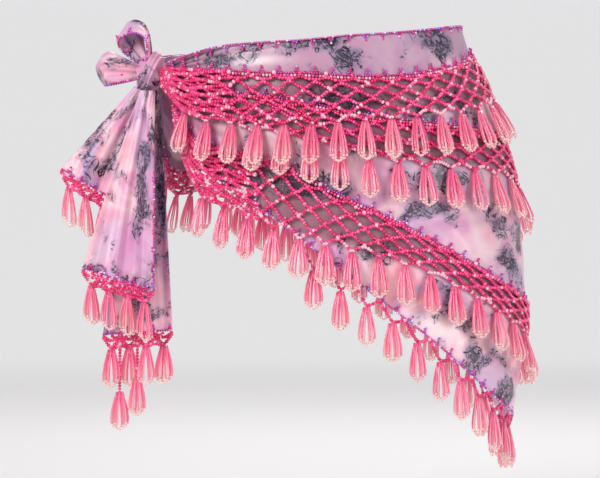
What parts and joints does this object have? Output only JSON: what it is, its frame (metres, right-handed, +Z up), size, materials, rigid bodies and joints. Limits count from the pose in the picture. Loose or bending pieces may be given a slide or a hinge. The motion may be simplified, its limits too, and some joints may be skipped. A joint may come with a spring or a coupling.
{
  "type": "hip scarf",
  "caption": "Triangular printed hip scarf, worn and knotted at one side, with bead-net tiers, teardrop bead pendants along each edge, a bow and hanging tails",
  "frame": {"origin": "centre of the waist opening, at the height where the hips are held", "axes": "+X towards the far hip where the scarf reaches lowest, -Y the wearer's front, +Z up; the knot is on the -X side"},
  "size_m": [0.4397, 0.2666, 0.4169],
  "materials": {
    "printed_cloth": "soft satin sheen, cloudy pink and lilac print",
    "net_beads": "glossy",
    "pendant_beads": "clear, glossy"
  },
  "bodies": {
    "root": {"scarf_cloth": "printed_cloth", "knot": "printed_cloth", "bow_loop_upper": "printed_cloth", "bow_loop_left": "printed_cloth", "tail_left": "printed_cloth", "tail_front": "printed_cloth", "tail_back": "printed_cloth", "net_1_front": "net_beads", "net_1_back": "net_beads", "net_2_front": "net_beads", "net_2_back": "net_beads", "net_3_front": "net_beads", "net_3_back": "net_beads", "fringe_1": "pendant_beads", "fringe_2": "pendant_beads", "fringe_3": "pendant_beads", "fringe_hem": "pendant_beads", "fringe_tail_left": "pendant_beads", "fringe_tail_front": "pendant_beads", "fringe_tail_back": "pendant_beads"}
  },
  "joints": []
}
